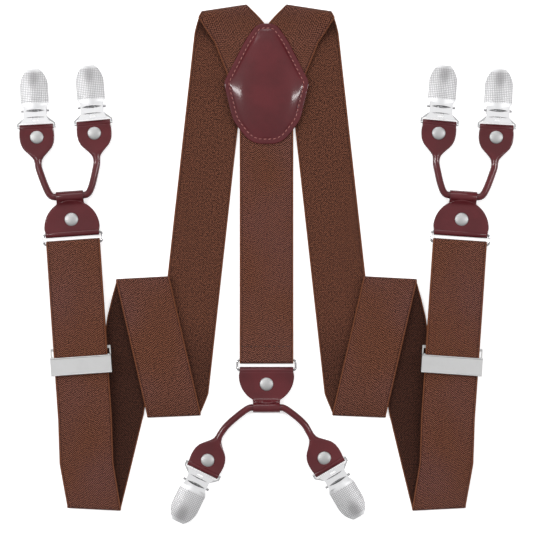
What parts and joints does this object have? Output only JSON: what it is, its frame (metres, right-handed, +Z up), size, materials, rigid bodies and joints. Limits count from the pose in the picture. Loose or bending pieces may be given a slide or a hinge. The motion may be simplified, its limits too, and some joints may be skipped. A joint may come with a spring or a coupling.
{
  "type": "suspenders",
  "caption": "Y-back suspenders with adjustable elastic webbing, a stitched leather back patch, riveted leather ends on rolled cords and spring clips, laid flat and folded",
  "frame": {"origin": "centre of the laid-out outline, on the surface it lies on", "axes": "+Y runs along the back strap towards the shoulder folds, +X to the right seen from above, +Z up from the surface"},
  "size_m": [0.3246, 0.3383, 0.0104],
  "materials": {
    "webbing": "dark brown twill elastic webbing",
    "padding": "soft felt",
    "leather": "smooth oxblood leather",
    "chrome": "polished nickel plate",
    "satin_metal": "satin nickel plate",
    "rivet_metal": "satin nickel rivet cap",
    "spring_steel": "bright spring wire"
  },
  "bodies": {
    "straps": {"left_strap_shoulder": "webbing", "left_strap_back_run": "webbing", "left_strap_short_run": "webbing", "left_strap_under_run": "webbing", "left_strap_front_run": "webbing", "left_strap_return": "webbing", "right_strap_shoulder": "webbing", "right_strap_back_run": "webbing", "right_strap_short_run": "webbing", "right_strap_under_run": "webbing", "right_strap_front_run": "webbing", "right_strap_return": "webbing", "back_strap": "webbing", "patch_backing": "leather", "patch_padding": "padding", "patch_front": "leather"},
    "left_ring_body": {"left_ring": "chrome"},
    "left_tab_body": {"left_tab": "leather", "left_roll": "leather", "left_rivets": "rivet_metal"},
    "left_outer_clip_body": {"left_outer_clip_back_plate": "chrome", "left_outer_clip_pin": "chrome", "left_outer_clip_spring": "spring_steel"},
    "left_outer_clip_jaw": {"left_outer_clip_front_plate": "chrome"},
    "left_inner_clip_body": {"left_inner_clip_back_plate": "chrome", "left_inner_clip_pin": "chrome", "left_inner_clip_spring": "spring_steel"},
    "left_inner_clip_jaw": {"left_inner_clip_front_plate": "chrome"},
    "right_ring_body": {"right_ring": "chrome"},
    "right_tab_body": {"right_tab": "leather", "right_roll": "leather", "right_rivets": "rivet_metal"},
    "right_outer_clip_body": {"right_outer_clip_back_plate": "chrome", "right_outer_clip_pin": "chrome", "right_outer_clip_spring": "spring_steel"},
    "right_outer_clip_jaw": {"right_outer_clip_front_plate": "chrome"},
    "right_inner_clip_body": {"right_inner_clip_back_plate": "chrome", "right_inner_clip_pin": "chrome", "right_inner_clip_spring": "spring_steel"},
    "right_inner_clip_jaw": {"right_inner_clip_front_plate": "chrome"},
    "back_ring_body": {"back_ring": "chrome"},
    "back_tab_body": {"back_tab": "leather", "back_roll_cord": "leather", "back_rivets": "rivet_metal"},
    "back_right_clip_body": {"back_right_clip_back_plate": "chrome", "back_right_clip_pin": "chrome", "back_right_clip_spring": "spring_steel"},
    "back_right_clip_jaw": {"back_right_clip_front_plate": "chrome"},
    "back_left_clip_body": {"back_left_clip_back_plate": "chrome", "back_left_clip_pin": "chrome", "back_left_clip_spring": "spring_steel"},
    "back_left_clip_jaw": {"back_left_clip_front_plate": "chrome"},
    "left_adjuster_body": {"left_adjuster_frame": "chrome", "left_adjuster_pin": "chrome"},
    "left_adjuster_lever_body": {"left_adjuster_lever": "satin_metal"},
    "right_adjuster_body": {"right_adjuster_frame": "chrome", "right_adjuster_pin": "chrome"},
    "right_adjuster_lever_body": {"right_adjuster_lever": "satin_metal"}
  },
  "joints": [
    {"name": "left_ring_swing", "type": "hinge", "parent": "straps", "child": "left_ring_body", "pos_m": [-0.12576, 0.01431, 0.0025], "axis": [0.9976, 0.0698, 0], "range_deg": [-50, 50]},
    {"name": "left_tab_swing", "type": "hinge", "parent": "left_ring_body", "child": "left_tab_body", "pos_m": [-0.12623, 0.02109, 0.0025], "axis": [0.9976, 0.0698, 0], "range_deg": [-60, 60]},
    {"name": "left_outer_clip_swivel", "type": "hinge", "parent": "left_tab_body", "child": "left_outer_clip_body", "pos_m": [-0.14972, 0.08987, 0.00235], "axis": [0.9986, 0.0523, 0], "range_deg": [-40, 40]},
    {"name": "left_outer_clip_open", "type": "hinge", "parent": "left_outer_clip_body", "child": "left_outer_clip_jaw", "pos_m": [-0.15028, 0.10046, 0.00495], "axis": [0.9986, 0.0523, 0], "range_deg": [0, 25], "stiffness_Nm_per_rad": 0.03, "springref_deg": -28.65, "deforming": ["left_outer_clip_spring"]},
    {"name": "left_inner_clip_swivel", "type": "hinge", "parent": "left_tab_body", "child": "left_inner_clip_body", "pos_m": [-0.11254, 0.09247, 0.00235], "axis": [0.9962, 0.0872, 0], "range_deg": [-40, 40]},
    {"name": "left_inner_clip_open", "type": "hinge", "parent": "left_inner_clip_body", "child": "left_inner_clip_jaw", "pos_m": [-0.11346, 0.10303, 0.00495], "axis": [0.9962, 0.0872, 0], "range_deg": [0, 25], "stiffness_Nm_per_rad": 0.03, "springref_deg": -28.65, "deforming": ["left_inner_clip_spring"]},
    {"name": "right_ring_swing", "type": "hinge", "parent": "straps", "child": "right_ring_body", "pos_m": [0.12576, 0.01431, 0.0025], "axis": [0.9976, -0.0698, 0], "range_deg": [-50, 50]},
    {"name": "right_tab_swing", "type": "hinge", "parent": "right_ring_body", "child": "right_tab_body", "pos_m": [0.12623, 0.02109, 0.0025], "axis": [0.9976, -0.0698, 0], "range_deg": [-60, 60]},
    {"name": "right_outer_clip_swivel", "type": "hinge", "parent": "right_tab_body", "child": "right_outer_clip_body", "pos_m": [0.14972, 0.08987, 0.00235], "axis": [0.9986, -0.0523, 0], "range_deg": [-40, 40]},
    {"name": "right_outer_clip_open", "type": "hinge", "parent": "right_outer_clip_body", "child": "right_outer_clip_jaw", "pos_m": [0.15028, 0.10046, 0.00495], "axis": [0.9986, -0.0523, 0], "range_deg": [0, 25], "stiffness_Nm_per_rad": 0.03, "springref_deg": -28.65, "deforming": ["right_outer_clip_spring"]},
    {"name": "right_inner_clip_swivel", "type": "hinge", "parent": "right_tab_body", "child": "right_inner_clip_body", "pos_m": [0.11254, 0.09247, 0.00235], "axis": [0.9962, -0.0872, 0], "range_deg": [-40, 40]},
    {"name": "right_inner_clip_open", "type": "hinge", "parent": "right_inner_clip_body", "child": "right_inner_clip_jaw", "pos_m": [0.11346, 0.10303, 0.00495], "axis": [0.9962, -0.0872, 0], "range_deg": [0, 25], "stiffness_Nm_per_rad": 0.03, "springref_deg": -28.65, "deforming": ["right_inner_clip_spring"]},
    {"name": "back_ring_swing", "type": "hinge", "parent": "straps", "child": "back_ring_body", "pos_m": [0, -0.0614, 0.0025], "axis": [-1, 0, 0], "range_deg": [-50, 50]},
    {"name": "back_tab_swing", "type": "hinge", "parent": "back_ring_body", "child": "back_tab_body", "pos_m": [0, -0.0682, 0.0025], "axis": [-1, 0, 0], "range_deg": [-60, 60]},
    {"name": "back_right_clip_swivel", "type": "hinge", "parent": "back_tab_body", "child": "back_right_clip_body", "pos_m": [0.04086, -0.13073, 0.00235], "axis": [-0.8616, -0.5075, 0], "range_deg": [-40, 40]},
    {"name": "back_right_clip_open", "type": "hinge", "parent": "back_right_clip_body", "child": "back_right_clip_jaw", "pos_m": [0.04624, -0.13987, 0.00495], "axis": [-0.8616, -0.5075, 0], "range_deg": [0, 25], "stiffness_Nm_per_rad": 0.03, "springref_deg": -28.65, "deforming": ["back_right_clip_spring"]},
    {"name": "back_left_clip_swivel", "type": "hinge", "parent": "back_tab_body", "child": "back_left_clip_body", "pos_m": [-0.0411, -0.13246, 0.00235], "axis": [-0.8988, 0.4384, 0], "range_deg": [-40, 40]},
    {"name": "back_left_clip_open", "type": "hinge", "parent": "back_left_clip_body", "child": "back_left_clip_jaw", "pos_m": [-0.04575, -0.14199, 0.00495], "axis": [-0.8988, 0.4384, 0], "range_deg": [0, 25], "stiffness_Nm_per_rad": 0.03, "springref_deg": -28.65, "deforming": ["back_left_clip_spring"]},
    {"name": "left_adjuster_slide", "type": "slide", "parent": "straps", "child": "left_adjuster_body", "axis": [-0.0698, 0.9976, 0], "range_m": [-0.02, 0.012], "deforming": ["left_strap_return"]},
    {"name": "left_adjuster_lever_lift", "type": "hinge", "parent": "left_adjuster_body", "child": "left_adjuster_lever_body", "pos_m": [-0.12056, -0.05951, 0.00795], "axis": [-0.9976, -0.0698, 0], "range_deg": [0, 90]},
    {"name": "right_adjuster_slide", "type": "slide", "parent": "straps", "child": "right_adjuster_body", "axis": [0.0698, 0.9976, 0], "range_m": [-0.02, 0.012], "deforming": ["right_strap_return"]},
    {"name": "right_adjuster_lever_lift", "type": "hinge", "parent": "right_adjuster_body", "child": "right_adjuster_lever_body", "pos_m": [0.12056, -0.05951, 0.00795], "axis": [-0.9976, 0.0698, 0], "range_deg": [0, 90]}
  ]
}
